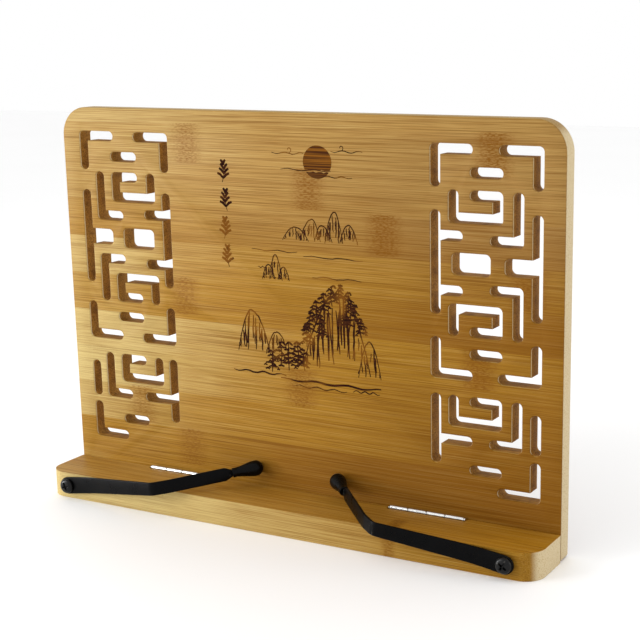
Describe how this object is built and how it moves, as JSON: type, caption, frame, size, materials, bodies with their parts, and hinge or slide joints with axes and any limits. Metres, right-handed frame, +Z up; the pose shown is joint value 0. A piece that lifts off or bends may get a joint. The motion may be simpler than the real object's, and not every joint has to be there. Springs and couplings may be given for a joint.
{
  "type": "bamboo album stand",
  "caption": "Bamboo album stand with a fretwork backboard, a hinged shelf, swinging page clips with rubber tips, and a wire prop that folds out behind.",
  "frame": {"origin": "on the tabletop, in the middle of the shelf's underside", "axes": "+X to the right seen from the front, +Y from the shelf's front edge towards the backboard, +Z up"},
  "size_m": [0.34, 0.0724, 0.246],
  "materials": {
    "bamboo_board": "satin lacquer",
    "bamboo_shelf": "satin lacquer",
    "hinge_chrome": "bright",
    "zinc_screw": "satin",
    "black_steel": "satin black",
    "black_rubber": "matte",
    "prop_steel": "satin"
  },
  "bodies": {
    "stand": {"backboard": "bamboo_board", "shelf": "bamboo_shelf", "left_hinge_board_leaf": "hinge_chrome", "left_hinge_shelf_leaf": "hinge_chrome", "left_hinge_pin": "hinge_chrome", "left_hinge_board_screw_outer": "zinc_screw", "left_hinge_board_screw_inner": "zinc_screw", "left_hinge_shelf_screw_outer": "zinc_screw", "left_hinge_shelf_screw_inner": "zinc_screw", "right_hinge_board_leaf": "hinge_chrome", "right_hinge_shelf_leaf": "hinge_chrome", "right_hinge_pin": "hinge_chrome", "right_hinge_board_screw_outer": "zinc_screw", "right_hinge_board_screw_inner": "zinc_screw", "right_hinge_shelf_screw_outer": "zinc_screw", "right_hinge_shelf_screw_inner": "zinc_screw", "left_clip_screw": "black_steel", "left_clip_washer": "black_steel", "right_clip_screw": "black_steel", "right_clip_washer": "black_steel", "left_prop_saddle": "prop_steel", "right_prop_saddle": "prop_steel", "left_saddle_screw_lower": "zinc_screw", "left_saddle_screw_upper": "zinc_screw", "right_saddle_screw_lower": "zinc_screw", "right_saddle_screw_upper": "zinc_screw"},
    "left_clip": {"left_clip_arm": "black_steel", "left_clip_rubber_tip": "black_rubber"},
    "right_clip": {"right_clip_arm": "black_steel", "right_clip_rubber_tip": "black_rubber"},
    "prop": {"prop_wire": "prop_steel", "prop_sleeve": "black_rubber"}
  },
  "joints": [
    {"name": "left_clip_swing", "type": "hinge", "parent": "stand", "child": "left_clip", "pos_m": [-0.1518, -0.01985, 0.009], "axis": [0, -1, 0], "range_deg": [-1.5, 172]},
    {"name": "right_clip_swing", "type": "hinge", "parent": "stand", "child": "right_clip", "pos_m": [0.1518, -0.01985, 0.009], "axis": [0, 1, 0], "range_deg": [-1.5, 172]},
    {"name": "prop_swing", "type": "hinge", "parent": "stand", "child": "prop", "pos_m": [0, 0.0323, 0.15], "axis": [1, 0, 0], "range_deg": [0, 60]}
  ]
}
